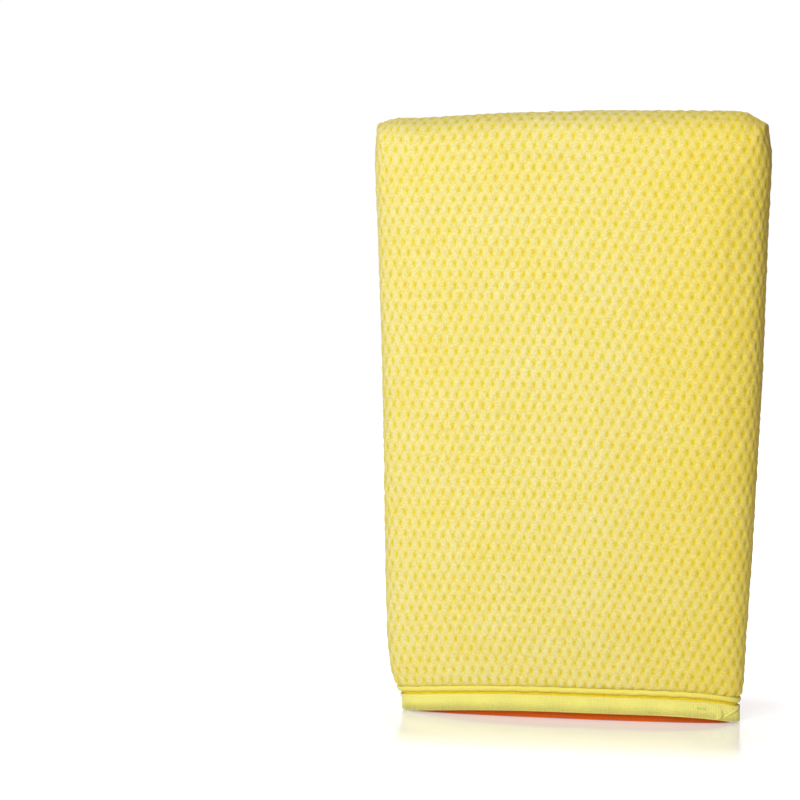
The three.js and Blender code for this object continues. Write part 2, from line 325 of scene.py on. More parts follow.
def push_map(rest, push, chosen):
    numbers = np.flatnonzero(chosen)
    tree = kdtree.KDTree(len(numbers))
    for n in numbers:
        tree.insert((rest[n, 0], 0, rest[n, 2]), int(n))
    tree.balance()
    table = np.zeros((len(MAP_X), len(MAP_Z)))
    for i, x in enumerate(MAP_X):
        for j, z in enumerate(MAP_Z):
            near = tree.find_n((x, 0, z), NEIGHBOURS)
            weights = [1 / (distance + NEIGHBOUR_SOFT) for _, _, distance in near]
            table[i, j] = sum(w * push[n] for w, (_, n, _) in zip(weights, near)) / sum(weights)
    return table


def read_map(table, x, z):
    i = np.clip((x - MAP_X[0]) / MAP_STEP, 0, len(MAP_X) - 1.001)
    j = np.clip((z - MAP_Z[0]) / MAP_STEP, 0, len(MAP_Z) - 1.001)
    a, b = i.astype(int), j.astype(int)
    fa, fb = smooth(0, 1, i - a), smooth(0, 1, j - b)
    low = table[a, b] * (1 - fa) + table[a + 1, b] * fa
    high = table[a, b + 1] * (1 - fa) + table[a + 1, b + 1] * fa
    return low * (1 - fb) + high * fb


PUSH_FRONT, PUSH_BACK = blow_up()


def settled(points, arched=True):
    """Points of the regular mitt, in any grid, once the padding and the hang have moved them."""
    flat = np.reshape(points, (-1, 3))
    x, y, z = flat.T
    frontness = smooth(-PUSH_BLEND, PUSH_BLEND, -y / HALF_DEPTH)
    moved = hang(flat, arched)
    moved[:, 1] += frontness * read_map(PUSH_FRONT, x, z) + (1 - frontness) * read_map(PUSH_BACK, x, z)
    return moved.reshape(np.shape(points))


# %% [markdown]
# ## A cover: face, sides and end in one cloth
# A cover is a grid for the face and a second grid that wraps from its edge round both sides and the end.
# Each edge point has its own curve: the superellipse at the sides, the rounding of the end at the top, and
# a blend of both in the corners. It is cut where the seam is.

# %% Cover grid
EDGE_RADIUS = 6 * MM  # the face turns into the side over this distance
END_LEAST = 6 * MM  # an inner layer's rounding at the end is no less
CORNER_SPAN = 9 * MM
CORNER_POWERS = (0.62, 0.9)  # left and right. Below 1 is squarer than a circle
TURN = np.linspace(0, 2, 97)  # along a wrap curve, 1 at the outermost point


def face_grid(layer, foot, columns, rows):
    body_inset = LAYERS[layer][1] * MM
    end = TOP - body_inset - max(END_RADIUS - body_inset, END_LEAST)
    z = np.linspace(foot, end, rows + 1)[:, None]
    share = np.linspace(-1, 1, columns + 1)[None, :]
    inset = layer_inset(layer, z)
    half = half_width(share, z) - inset
    x = share * (half - EDGE_RADIUS)
    y = -(station("depth", z) - inset) * depth_share(x / half, station("square", z))
    return np.stack(np.broadcast_arrays(x, y, z), axis=-1), np.broadcast_to(share, x.shape)


def face_edge(grid):
    """The face's own edge, from the cuff up the left side, along the end and down the right side."""
    return np.concatenate([grid[:, 0], grid[-1, 1:], grid[-2::-1, -1]])


def wrap_grid(layer, face, edge_share, steps):
    """Points from the face's edge to the seam, which lies at the depth share edge_share."""
    edge = face_edge(face)
    side_z = face[:, 0, 2]
    rows, columns = face.shape[0] - 1, face.shape[1] - 1
    up = np.concatenate([side_z[-1] - side_z, np.zeros(columns - 1), side_z[-1] - side_z[::-1]])
    from_side = np.minimum(edge[:, 0] - face[-1, 0, 0], face[-1, -1, 0] - edge[:, 0])
    along_top = np.zeros(len(edge), bool)
    along_top[rows + 1:rows + columns] = True
    quarter = math.pi / 4
    angle = np.where(along_top, 2 * quarter - quarter * (1 - smooth(0, CORNER_SPAN, from_side)),
                     quarter * (1 - smooth(0, CORNER_SPAN, up)))
    sign = np.where(np.arange(len(edge)) <= rows + columns // 2, -1.0, 1.0)
    z = edge[:, 2]
    inset = layer_inset(layer, z)
    half = half_width(sign, z) - inset
    depth = station("depth", z) - inset
    bend = np.sin(math.pi / 2 * TURN)[None, :]
    start = 1 - EDGE_RADIUS / half
    across = start[:, None] + (1 - start[:, None]) * bend
    behind = np.where(TURN > 1, 1.0, -1.0)[None, :]
    side_depth = behind * depth_share(across, station("square", z)[:, None])
    side_out = (across - start[:, None]) * half[:, None]
    end_out = (TOP - LAYERS[layer][1] * MM - side_z[-1]) * bend
    end_depth = behind * np.sqrt(1 - np.minimum(bend, 1) ** END_POWER) * (-edge[:, 1] / depth)[:, None]
    share = (angle / (2 * quarter))[:, None]
    power = np.where(sign < 0, *CORNER_POWERS)
    out_x = (sign * np.cos(angle) ** power)[:, None] * side_out
    out_z = (np.sin(angle) ** power)[:, None] * end_out
    level = side_depth * (1 - share) + end_depth * share
    curve = np.stack([edge[:, 0:1] + out_x, level * depth[:, None], z[:, None] + out_z], axis=-1)
    run = np.concatenate([np.zeros((len(edge), 1)),
                          np.cumsum(np.linalg.norm(np.diff(curve, axis=1), axis=2), axis=1)], axis=1)
    wrap = np.empty((len(edge), steps + 1, 3))
    runs = np.empty((len(edge), steps + 1))
    for k in range(len(edge)):
        runs[k] = np.linspace(0, np.interp(edge_share, level[k], run[k]), steps + 1)
        for axis in range(3):
            wrap[k, :, axis] = np.interp(runs[k], run[k], curve[k, :, axis])
    outward = np.stack([sign * np.cos(angle), np.zeros(len(angle)), np.sin(angle)], axis=-1)
    return wrap, runs, outward


# %% [markdown]
# A cover has two skins, as real cloth has, so it is closed. The inner skin, which nobody sees, has a
# quarter or a half of the outer one's rows and columns, and the rim between them is a row of small fans.

# %% Covers as closed meshes
def numbered(rows, columns, edge_count, steps, first):
    """Vertex numbers of a face grid and of the wrap grid that shares its edge."""
    face = first + np.arange((rows + 1) * (columns + 1)).reshape(rows + 1, columns + 1)
    own = first + face.size + np.arange(edge_count * steps).reshape(edge_count, steps)
    return face, np.concatenate([face_edge(face)[:, None], own], axis=1)


def quads(grid):
    return np.stack([grid[:-1, :-1], grid[:-1, 1:], grid[1:, 1:], grid[1:, :-1]], axis=-1).reshape(-1, 4)


def open_edge(face, wrap):
    """The cover's free edge as one loop: the seam to the left, then the cuff to the right."""
    return np.concatenate([wrap[::-1, -1], wrap[0, -2::-1], face[0, 1:], wrap[-1, 1:-1]])


def fan_rim(fine, coarse, ratio):
    faces = []
    count = len(coarse)
    for k in range(count):
        near, far = coarse[k], coarse[(k + 1) % count]
        run = [fine[(k * ratio + j) % len(fine)] for j in range(ratio + 1)]
        half = ratio // 2
        faces += [(run[j + 1], run[j], near) for j in range(half)]
        faces.append((run[half], near, far) if half else (run[1], run[0], near))
        faces += [(run[j + 1], run[j], far) for j in range(half, ratio)]
    return faces


WEAVE_HALF = 66 * MM  # the face's half width on the cloth as it was cut
ROW_DROP = 0.045  # the rows run down towards the right
ROW_DROP_BEND = 20 * MM  # and turn into that slope over this width
WEAVE_CLEAR = (0.4 * MM, 2.2 * MM)  # pressed flat where it is sewn to the cuff


def weave_places(face, share, runs, outward, amount):
    """Where each vertex lies on the cloth as it was cut: across, along, and how deep the weave is."""
    u = share * WEAVE_HALF
    v = face[..., 2] + ROW_DROP * (face[..., 0] + np.hypot(face[..., 0], ROW_DROP_BEND))
    edge_u, edge_v = face_edge(u[..., None])[:, 0], face_edge(v[..., None])[:, 0]
    wrap_u = edge_u[:, None] + outward[:, 0:1] * runs
    wrap_v = edge_v[:, None] + outward[:, 2:3] * runs
    foot = face[0, 0, 2]
    edge_z = face_edge(face)[:, 2:3] + np.zeros_like(wrap_u)
    places = [np.stack([a, b, amount * smooth(foot + WEAVE_CLEAR[0], foot + WEAVE_CLEAR[1], z)], axis=-1)
              for a, b, z in ((u, v, face[..., 2]), (wrap_u[:, 1:], wrap_v[:, 1:], edge_z[:, 1:]))]
    return np.concatenate([p.reshape(-1, 3) for p in places])


def cover(name, outer, inner, foot, cells, edge_share, ratio=4, mirrored=False):
    """A cover between two layers. cells is columns, rows and wrap steps, each a multiple of ratio."""
    points, faces, rims, weave = [], [], [], []
    first = 0
    for outside, layer, coarser in ((True, outer, 1), (False, inner, ratio)):
        columns, rows, steps = (c // coarser for c in cells)
        face, share = face_grid(layer, foot, columns, rows)
        wrap, runs, outward = wrap_grid(layer, face, edge_share, steps)
        face_ids, wrap_ids = numbered(rows, columns, len(wrap), steps, first)
        grids = [quads(face_ids), quads(wrap_ids.T)]
        faces += [f if outside else f[::-1] for grid in grids for f in grid.tolist()]
        points.append(np.concatenate([face.reshape(-1, 3), wrap[:, 1:].reshape(-1, 3)]))
        rims.append(open_edge(face_ids, wrap_ids))
        weave.append(weave_places(face, share, runs, outward, amount=1.0 if outside else 0.0))
        first += len(points[-1])
    faces += fan_rim(rims[0], rims[1], ratio)
    points, weave = np.concatenate(points), np.concatenate(weave)
    if mirrored:
        points[:, 1] *= -1
        faces = [f[::-1] for f in faces]
    piece = make_object(name, settled(points), faces)
    attribute = piece.data.attributes.new("weave", "FLOAT_VECTOR", "POINT")
    attribute.data.foreach_set("vector", weave.astype(np.float32).ravel())
    return piece


# %% [markdown]
# ## Loops round the cuff
# The tape, the piping and the facing are small sections, given as pairs of height and inset from the skin,
# carried round the cuff by equal steps.

# %% Places on the cuff
CUFF_MIDDLE = 3.2 * MM
AROUND = np.linspace(-1, 3, 961)  # -1 is the left end, 0 the front, 1 the right end, 2 the back


def around_place(turn, z, inset):
    """Points of the skin at a turn round the mitt, moved in by inset."""
    across = np.sin(math.pi / 2 * turn)
    half = half_width(across, z) - inset
    deep = (station("depth", z) - inset) * depth_share(across, station("square", z))
    return np.stack(np.broadcast_arrays(across * half, np.where(turn > 1, deep, -deep), z), axis=-1)


CUFF_TRACK = around_place(AROUND, CUFF_MIDDLE, 0.0)
CUFF_RUN = np.concatenate([[0], np.cumsum(np.linalg.norm(np.diff(CUFF_TRACK, axis=0), axis=1))])
FRONT_MIDDLE = np.interp(0, AROUND, CUFF_RUN)


def cuff_place(run, z, inset):
    """Points on the cuff. run is the distance round it from the front middle, positive to the right."""
    turn = np.interp(run + FRONT_MIDDLE, CUFF_RUN, AROUND)
    return around_place(turn, z, inset)


def outline(z, inset, count):
    return cuff_place(np.linspace(0, CUFF_RUN[-1], count, endpoint=False) - FRONT_MIDDLE, z, inset)


print("cuff: %.0f mm round" % (CUFF_RUN[-1] / MM))


# %% Rings and sections
RIPPLE_WAVES, RIPPLE_SWELLS, RIPPLE_START = 37, 3, 0.7  # short waves that swell slowly
CORNER_STEPS = 3
SECTION_POINTS = 12


def cuff_ring(name, section, count=360, ripple=0.0, arched=True):
    """A ring whose section is a closed run of (height, inset) pairs in millimetres."""
    rings = np.stack([outline(z * MM, inset * MM, count) for z, inset in section], axis=1)
    turn = np.arange(count) * 2 * math.pi
    wave = np.sin(turn * RIPPLE_WAVES / count) * np.sin(turn * RIPPLE_SWELLS / count + RIPPLE_START)
    rings[:, :, 2] += (ripple * MM * wave)[:, None]
    return swept(name, settled(rings, arched), closed=True)


def rounded_strip(low, high, outer, inner, radius):
    """The section of a flat tape with rounded edges, as (height, inset) pairs."""
    corners = [(low + radius, outer + radius), (high - radius, outer + radius),
               (high - radius, inner - radius), (low + radius, inner - radius)]
    section = []
    for (z, inset), start in zip(corners, (1.5, 1.0, 0.5, 0.0)):
        for turn in np.linspace(start, start - 0.5, CORNER_STEPS + 1) * math.pi:
            section.append((z + radius * math.sin(turn), inset + radius * math.cos(turn)))
    return section


def round_section(z, inset, radius):
    turns = np.linspace(0, 2 * math.pi, SECTION_POINTS, endpoint=False)
    return [(z + radius * math.sin(t), inset + radius * math.cos(t)) for t in turns]


# %% [markdown]
# ## Geometry Nodes for the weave and for rows
# Two trees do the repeating work. One raises the waffle relief by where a vertex lies on the cut cloth, and
# keeps that place for the colour. The other sets ribs or stitches in a row along a path.

# %% Node helpers
def linear(code):
    """An sRGB hex colour as linear RGBA."""
    channels = [int(code[k:k + 2], 16) / 255 for k in (1, 3, 5)]
    return [c / 12.92 if c <= 0.04045 else ((c + 0.055) / 1.055) ** 2.4 for c in channels] + [1.0]


def add(tree, kind, settings=None, **links):
    """Adds a node. settings are its properties. links are its inputs, each a number or an output."""
    node = tree.nodes.new(kind)
    for key, value in (settings or {}).items():
        setattr(node, key, value)
    for key, value in links.items():
        name = key.replace("_", " ")
        socket = node.inputs[int(name[1:])] if name[1:].isdigit() else node.inputs[name]
        if isinstance(value, bpy.types.NodeSocket):
            tree.links.new(value, socket)
        else:
            socket.default_value = value
    return node


def out(tree, kind, settings=None, **links):
    """Adds a node and gives its first output."""
    return add(tree, kind, settings, **links).outputs[0]


def new_tree(name, inputs):
    tree = bpy.data.node_groups.new(name, "GeometryNodeTree")
    tree.interface.new_socket("Geometry", in_out="INPUT", socket_type="NodeSocketGeometry")
    for title, kind, value in inputs:
        socket = tree.interface.new_socket(title, in_out="INPUT", socket_type="NodeSocket" + kind)
        if value is not None:
            socket.default_value = value
    tree.interface.new_socket("Geometry", in_out="OUTPUT", socket_type="NodeSocketGeometry")
    return tree, add(tree, "NodeGroupInput").outputs


def close_tree(tree, geometry, material):
    real = out(tree, "GeometryNodeRealizeInstances", Geometry=geometry)
    painted = out(tree, "GeometryNodeSetMaterial", Geometry=real, Material=material)
    add(tree, "NodeGroupOutput", Geometry=painted)


def grown(piece, tree, look, **inputs):
    """Runs a tree on a piece and keeps the result as its plain mesh."""
    inputs["Material"] = FINISHES[look]
    modifier = piece.modifiers.new(tree.name, "NODES")
    modifier.node_group = tree
    for item in tree.interface.items_tree:
        if item.in_out == "INPUT" and item.name.replace(" ", "_") in inputs:
            modifier[item.identifier] = inputs[item.name.replace(" ", "_")]
    piece.data = evaluated_mesh(piece)
    piece.modifiers.clear()
    print(f"{piece.name}: {len(piece.data.polygons)} faces after {tree.name}")
    return piece


# %% The weave tree
COLUMN_PITCH, ROW_PITCH = 4.0 * MM, 4.1 * MM
UNEVEN_NOISE, PUFF_NOISE = 110.0, 260.0  # per metre: the cells wander slowly
PUFF_LEAST, PUFF_VARIES = 0.55, 0.9  # a puff's height: least plus varies times noise


def calculator(tree):
    def calc(operation, a, b=0.0):
        return out(tree, "ShaderNodeMath", {"operation": operation}, i0=a, i1=b)
    return calc


def waffle_height(calc, u, v, column, row, sharp, groove_sharp, pit_share, lean):
    """Two slanting sets of grooves leave puffs, and a pit where they cross. 1 is a puff's top."""
    across = calc("MULTIPLY", calc("DIVIDE", u, column), 2 * math.pi)
    along = calc("MULTIPLY", calc("DIVIDE", v, row), math.pi)
    grooves = [calc("MULTIPLY", calc("ADD", calc("COSINE", calc(way, across, along)), 1.0), 0.5)
               for way in ("SUBTRACT", "ADD")]
    pit = calc("MULTIPLY", calc("POWER", calc("MULTIPLY", *grooves), sharp), pit_share)
    sets = [calc("MULTIPLY", calc("POWER", groove, groove_sharp), share)
            for groove, share in zip(grooves, (lean, calc("SUBTRACT", 1.0, lean)))]
    both = calc("MULTIPLY", calc("ADD", *sets), calc("SUBTRACT", 1.0, pit_share))
    return calc("SUBTRACT", 1.0, calc("ADD", pit, both))


def weave_tree():
    tree, put = new_tree("waffle_relief", [
        ("Column Pitch", "Float", COLUMN_PITCH), ("Row Pitch", "Float", ROW_PITCH),
        ("Relief", "Float", 0.6 * MM), ("Pit Sharpness", "Float", 1.8),
        ("Groove Sharpness", "Float", 1.9), ("Pit Share", "Float", 0.58),
        ("Lean", "Float", 0.6), ("Unevenness", "Float", 0.35 * MM), ("Material", "Material", None)])
    calc = calculator(tree)
    place = out(tree, "GeometryNodeInputNamedAttribute", {"data_type": "FLOAT_VECTOR"}, Name="weave")
    seed = add(tree, "ShaderNodeTexNoise", {"noise_dimensions": "3D"}, Vector=place, Scale=UNEVEN_NOISE,
               Detail=1.0)
    wobble = out(tree, "ShaderNodeVectorMath", {"operation": "SUBTRACT"}, i0=seed.outputs["Color"],
                 i1=(0.5, 0.5, 0.5))
    wobble = out(tree, "ShaderNodeVectorMath", {"operation": "SCALE"}, i0=wobble, Scale=put["Unevenness"])
    uneven = out(tree, "ShaderNodeVectorMath", {"operation": "ADD"}, i0=place, i1=wobble)
    u, v, _ = add(tree, "ShaderNodeSeparateXYZ", i0=uneven).outputs
    depth = add(tree, "ShaderNodeSeparateXYZ", i0=place).outputs[2]
    height = waffle_height(calc, u, v, put["Column Pitch"], put["Row Pitch"], put["Pit Sharpness"],
                           put["Groove Sharpness"], put["Pit Share"], put["Lean"])
    size = out(tree, "ShaderNodeTexNoise", Vector=place, Scale=PUFF_NOISE, Detail=0.0)
    height = calc("MULTIPLY", height, calc("ADD", calc("MULTIPLY", size, PUFF_VARIES), PUFF_LEAST))
    lift = calc("MULTIPLY", calc("MULTIPLY", height, put["Relief"]), depth)
    normal = out(tree, "GeometryNodeInputNormal")
    offset = out(tree, "ShaderNodeVectorMath", {"operation": "SCALE"}, i0=normal, Scale=lift)
    raised = out(tree, "GeometryNodeSetPosition", Geometry=put["Geometry"], Offset=offset)
    kept = out(tree, "GeometryNodeStoreNamedAttribute", {"data_type": "FLOAT_VECTOR", "domain": "POINT"},
               Geometry=raised, Name="weave", Value=uneven)
    close_tree(tree, kept, put["Material"])
    return tree


WEAVE = weave_tree()
print("weave tree:", len(WEAVE.nodes), "nodes")


# %% The row tree
def row_tree(name, upright):
    """Sets a rounded bar at every step of a path. An upright bar stays vertical, others follow the path."""
    tree, put = new_tree(name, [("Pitch", "Float", 2 * MM), ("Size", "Vector", (1 * MM, 1 * MM, 1 * MM)),
                                ("Material", "Material", None)])
    path = out(tree, "GeometryNodeMeshToCurve", Mesh=put["Geometry"])
    even = out(tree, "GeometryNodeResampleCurve", {"mode": "LENGTH"}, Curve=path, Length=put["Pitch"])
    if upright:
        unit = out(tree, "GeometryNodeMeshCylinder", Vertices=6, Radius=0.5, Depth=1.0)
    else:
        unit = out(tree, "GeometryNodeMeshUVSphere", Segments=8, Rings=6, Radius=0.5)
    bar = out(tree, "GeometryNodeTransform", Geometry=unit, Scale=put["Size"])
    along = out(tree, "GeometryNodeInputTangent")
    turn = out(tree, "FunctionNodeAlignRotationToVector",
               {"axis": "X", "pivot_axis": "Z" if upright else "AUTO"}, Vector=along)
    row = out(tree, "GeometryNodeInstanceOnPoints", Points=even, Instance=bar, Rotation=turn)
    row = out(tree, "GeometryNodeRealizeInstances", Geometry=row)
    row = out(tree, "GeometryNodeSetShadeSmooth", Geometry=row)
    close_tree(tree, row, put["Material"])
    return tree


RIB_ROW, STITCH_ROW = row_tree("tape_ribs", True), row_tree("stitch_row", False)


def path_object(name, points, closed):
    mesh = bpy.data.meshes.new(name)
    count = len(points)
    edges = [(k, (k + 1) % count) for k in range(count if closed else count - 1)]
    mesh.from_pydata(settled(points).tolist(), edges, [])
    return linked(name, mesh)


def joined(piece, *others):
    """Joins other objects' meshes into a piece."""
    shape = bmesh.new()
    for part in (piece, *others):
        shape.from_mesh(part.data)
    shape.to_mesh(piece.data)
    shape.free()
    for part in others:
        bpy.data.objects.remove(part)
    piece.data.shade_smooth()
    return piece


# %% [markdown]
# ## Finishes
# Every finish is named for its real material. The microfibre is matt, and its pits are painted a deeper
# yellow than its puffs: painted shade for the light caught in them. The clay polymer is a dense elastomer
# with a satin skin.
# Tape, piping, lining and thread are woven or twisted yarn.

# %% Finish helper
def finish(name, shader):
    """A material with one principled shader. shader holds constants for the shader's own sockets."""
    material = bpy.data.materials.new(name)
    material.use_nodes = True
    tree = material.node_tree
    tree.nodes.clear()
    body = add(tree, "ShaderNodeBsdfPrincipled", **shader)
    add(tree, "ShaderNodeOutputMaterial", Surface=body.outputs[0])
    return material, tree, body


def ramp(tree, factor, *stops):
    node = add(tree, "ShaderNodeValToRGB", i0=factor)
    for k, (position, code) in enumerate(stops):
        element = node.color_ramp.elements[k] if k < 2 else node.color_ramp.elements.new(position)
        element.position, element.color = position, linear(code)
    return node.outputs[0]


def mixed(tree, blend, factor, a, b):
    node = add(tree, "ShaderNodeMix", {"data_type": "RGBA", "blend_type": blend}, i0=factor, i6=a, i7=b)
    return node.outputs[2]


def spot_on(tree):
    return add(tree, "ShaderNodeTexCoord").outputs["Object"]


def object_noise(tree, size, detail=2.0, rough=0.5):
    """Noise whose grain is about size, in metres, on object coordinates."""
    return out(tree, "ShaderNodeTexNoise", Vector=spot_on(tree), Scale=1 / size, Detail=detail,
               Roughness=rough)


def bumped(tree, body, height, distance, strength=1.0):
    bump = add(tree, "ShaderNodeBump", Height=height, Distance=distance, Strength=strength)
    tree.links.new(bump.outputs[0], body.inputs["Normal"])


# %% Waffle microfibre
# The colour's pits carry painted shade, and are sharper than the relief's.
LOOK_PIT, LOOK_GROOVE, LOOK_PIT_SHARE, LOOK_LEAN = 2.2, 3.0, 0.7, 0.62  # the colour's pits are sharper
FIBRE = 0.6 * MM  # drawn coarser than the real fibre


def waffle_microfibre():
    """Split microfibre yarn, waffle woven: matt, with a pale fuzz at grazing angles."""
    material, tree, body = finish("waffle_microfibre", {
        "Roughness": 0.9, "IOR": 1.5, "Specular_IOR_Level": 0.04, "Sheen_Weight": 0.05,
        "Sheen_Roughness": 0.45, "Sheen_Tint": linear("#FFF3C4"), "Subsurface_Weight": 0.35,
        "Subsurface_Scale": 1.6 * MM, "Subsurface_Radius": (1.0, 0.95, 0.45)})
    place = add(tree, "ShaderNodeAttribute", {"attribute_name": "weave"}).outputs["Vector"]
    u, v, _ = add(tree, "ShaderNodeSeparateXYZ", i0=place).outputs
    height = waffle_height(calculator(tree), u, v, COLUMN_PITCH, ROW_PITCH, LOOK_PIT, LOOK_GROOVE,
                           LOOK_PIT_SHARE, LOOK_LEAN)
    # Painted shade: the ramp gives the pits and grooves a darker, deeper yellow than the puff tops.
    colour = ramp(tree, height, (0.06, "#E3CF3E"), (0.4, "#E8D95C"), (0.75, "#EBDE7C"), (1.0, "#ECE2A2"))
    cloud = ramp(tree, object_noise(tree, 14 * MM), (0.3, "#FFFCE2"), (0.7, "#FFFFFF"))
    fibre = object_noise(tree, FIBRE, detail=3.0, rough=0.7)
    colour = mixed(tree, "MULTIPLY", 1.0, colour, cloud)
    # Painted shade: towards the right side the colour is tinted a darker, deeper yellow, for the shade and
    # warm reflected light that side gets.
    right = out(tree, "ShaderNodeSeparateXYZ", i0=spot_on(tree))
    right = out(tree, "ShaderNodeMapRange", Value=right, From_Max=HALF_WIDTH)
    colour = mixed(tree, "MULTIPLY", 1.0, colour, ramp(tree, right, (0.2, "#FFFFFF"), (0.95, "#FFF8C6")))
    colour = mixed(tree, "MULTIPLY", 0.6, colour, ramp(tree, fibre, (0.35, "#DAD2B4"), (0.6, "#FFFFFF")))
    tree.links.new(colour, body.inputs["Base Color"])
    bumped(tree, body, fibre, 0.35 * MM)
    return material


# %% Clay polymer
def clay_polymer():
    """Rubber-like polymer cast as a sheet on cloth. Satin, dense, with a fine knead-like grain."""
    material, tree, body = finish("clay_polymer", {
        "Roughness": 0.46, "IOR": 1.52, "Subsurface_Weight": 0.08, "Subsurface_Scale": 2 * MM,
        "Subsurface_Radius": (1.0, 0.35, 0.12)})
    cloud = object_noise(tree, 22 * MM, detail=3.0)
    tree.links.new(ramp(tree, cloud, (0.3, "#D9560F"), (0.7, "#E96A1C")), body.inputs["Base Color"])
    grain = object_noise(tree, 1.1 * MM, detail=3.0)
    bumped(tree, body, grain, 0.12 * MM, 0.7)
    return material


# %% Woven finishes
YARN_RELIEF = 0.12 * MM
YARN_FUZZ = 0.7 * MM
CELL = 1.2 * MM  # of the sponge
NODE_WAVE = math.pi / 10  # the wave texture's scale for one wave a metre


def cloth_finish(name, pitch, dark, light, roughness=0.9, sheen=0.2):
    """Plain woven or twisted yarn: two crossing sets of threads on object coordinates."""
    material, tree, body = finish(name, {"Roughness": roughness, "IOR": 1.5, "Specular_IOR_Level": 0.3,
                                         "Sheen_Weight": sheen, "Sheen_Roughness": 0.4})
    threads = [add(tree, "ShaderNodeTexWave", {"bands_direction": axis}, Vector=spot_on(tree),
                   Scale=NODE_WAVE / pitch, Distortion=0.4, Detail=1.0).outputs[1] for axis in "XZ"]
    weave = mixed(tree, "MIX", 0.5, *threads)
    fuzz = object_noise(tree, YARN_FUZZ, detail=3.0)
    weave = mixed(tree, "MIX", 0.35, weave, fuzz)
    tree.links.new(ramp(tree, weave, (0.25, dark), (0.75, light)), body.inputs["Base Color"])
    bumped(tree, body, weave, YARN_RELIEF)
    return material


def sponge():
    """Open cell polyurethane foam: matt, full of small round cells."""
    material, tree, body = finish("foam", {"Roughness": 0.95, "IOR": 1.5, "Specular_IOR_Level": 0.2})
    cells = add(tree, "ShaderNodeTexVoronoi", Vector=spot_on(tree), Scale=1 / CELL).outputs["Distance"]
    tree.links.new(ramp(tree, cells, (0.1, "#D9D2BE"), (0.6, "#F4EFE2")), body.inputs["Base Color"])
    bumped(tree, body, cells, 0.3 * MM)
    return material


FINISHES = {
    "waffle_microfibre": waffle_microfibre(), "clay_polymer": clay_polymer(), "foam": sponge(),
    "backing_cloth": cloth_finish("backing_cloth", 0.8 * MM, "#D8521A", "#EC7A3A"),
    "lining_cloth": cloth_finish("lining_cloth", 0.7 * MM, "#C44A04", "#DE660E"),
    "ribbed_tape": cloth_finish("ribbed_tape", 0.6 * MM, "#DDD35C", "#E9E48A", roughness=0.6, sheen=0.3),
    "tape_thread": cloth_finish("tape_thread", 0.4 * MM, "#E2DA6C", "#EAE488", roughness=0.5),
    "piping_cloth": cloth_finish("piping_cloth", 0.5 * MM, "#DECF4C", "#EAE074", roughness=0.55, sheen=0.3),
    "sewing_thread": cloth_finish("sewing_thread", 0.4 * MM, "#F0D010", "#F6DE28", roughness=0.5),
}
print("finishes:", sorted(FINISHES))


def place(piece, look, *nodes, slot=None):
    """Gives a piece its finish and body, and hides the CAD nodes it stands for. slot is not used."""
    piece.data.materials.clear()
    piece.data.materials.append(FINISHES[look])
    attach(piece, "root")
    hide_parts(*nodes)
    slot or look
    return piece


# %% [markdown]
# ## The waffle front
# One panel covers the front, both sides and the fingertip end, and is sewn to the clay side near the back.
# The grid has five or six samples to a weave cell, so pits and puffs are real shape, on the outline too.

# %% Waffle front panel
SKIN_START = 8.6 * MM
WEAVE_RELIEF = 0.72 * MM
PANEL_CELLS = (200, 252, 36)  # columns, rows and wrap steps
PANEL_EDGE = SEAM_SHARE - 0.02
waffle = cover("waffle_cloth", "waffle_outer", "waffle_inner", SKIN_START, PANEL_CELLS, PANEL_EDGE)
grown(waffle, WEAVE, "waffle_microfibre", Relief=WEAVE_RELIEF)
place(waffle, "waffle_microfibre", "waffle_front_panel")

# %% [markdown]
# ## The clay side
# The polymer is cast on a backing cloth and sewn in at the same seam. Its cover is the waffle panel's
# rule turned to the back, with a shallow, slow unevenness.

# %% Clay polymer face
CLAY_EDGE = -SEAM_SHARE - 0.05  # mirrored to the back, just short of the seam
CLAY_CELLS, BACKING_CELLS = (100, 124, 16), (48, 60, 8)
clay = cover("clay_sheet", "clay_outer", "clay_inner", SKIN_START, CLAY_CELLS, CLAY_EDGE, mirrored=True)
grown(clay, WEAVE, "clay_polymer", Column_Pitch=9 * MM, Row_Pitch=7 * MM, Relief=0.18 * MM,
      Pit_Sharpness=1.0, Pit_Share=1.0, Unevenness=6 * MM)
place(clay, "clay_polymer", "clay_polymer_face")

# %% Backing cloth under the polymer
backing = cover("clay_sheet_backing", "cloth_outer", "cloth_inner", SKIN_START, BACKING_CELLS, CLAY_EDGE,
                mirrored=True)
place(backing, "backing_cloth", "clay_backing_cloth")

# %% [markdown]
# ## Foam and linings
# They follow the same rule at their own insets, and only show from below, through the mouth. Foam is cut
# short of the seam, so the edges stay thin.

# %% Foam pads
PAD_FOOT = 17.5 * MM
PAD_CELLS = (40, 48, 8)


def inner_cover(name, node, layer, look, share):
    """A pad or lining that ends at a depth share. A negative one is mirrored to the back."""
    piece = cover(name, layer + "_outer", layer + "_inner", PAD_FOOT, PAD_CELLS, share, ratio=2,
                  mirrored=share < 0)
    return place(piece, look, node)


for name, node, share in (("front_sponge", "front_foam_pad", 0.30),
                          ("clay_side_sponge", "clay_foam_pad", -0.62)):
    inner_cover(name, node, "foam", "foam", share)

# %% Linings
for name, node, share, sponge_name in (("pocket_lining_front", "front_lining", 0.28, "front_sponge"),
                                       ("pocket_lining_back", "back_lining", -0.36, "clay_side_sponge")):
    lining = inner_cover(name, node, "lining", "lining_cloth", share)

# %% [markdown]
# ## Seam
# The covers meet behind the middle of the sides. Their edges turn in as an allowance, and stitches lie in
# the groove. The path is the last line of the wrap rule.

# %% Seam path
SEAM_STEPS = (96, 124, 4)
seam_face, _ = face_grid("skin", SKIN_START, *SEAM_STEPS[:2])
seam_wrap, _, seam_out = wrap_grid("skin", seam_face, SEAM_SHARE, SEAM_STEPS[2])
seam_line = seam_wrap[:, -1]
print("seam: %.0f mm long" % (np.linalg.norm(np.diff(seam_line, axis=0), axis=1).sum() / MM))


def beside_seam(inwards, behind):
    return seam_line - seam_out * inwards * MM + np.array([0, behind * MM, 0])


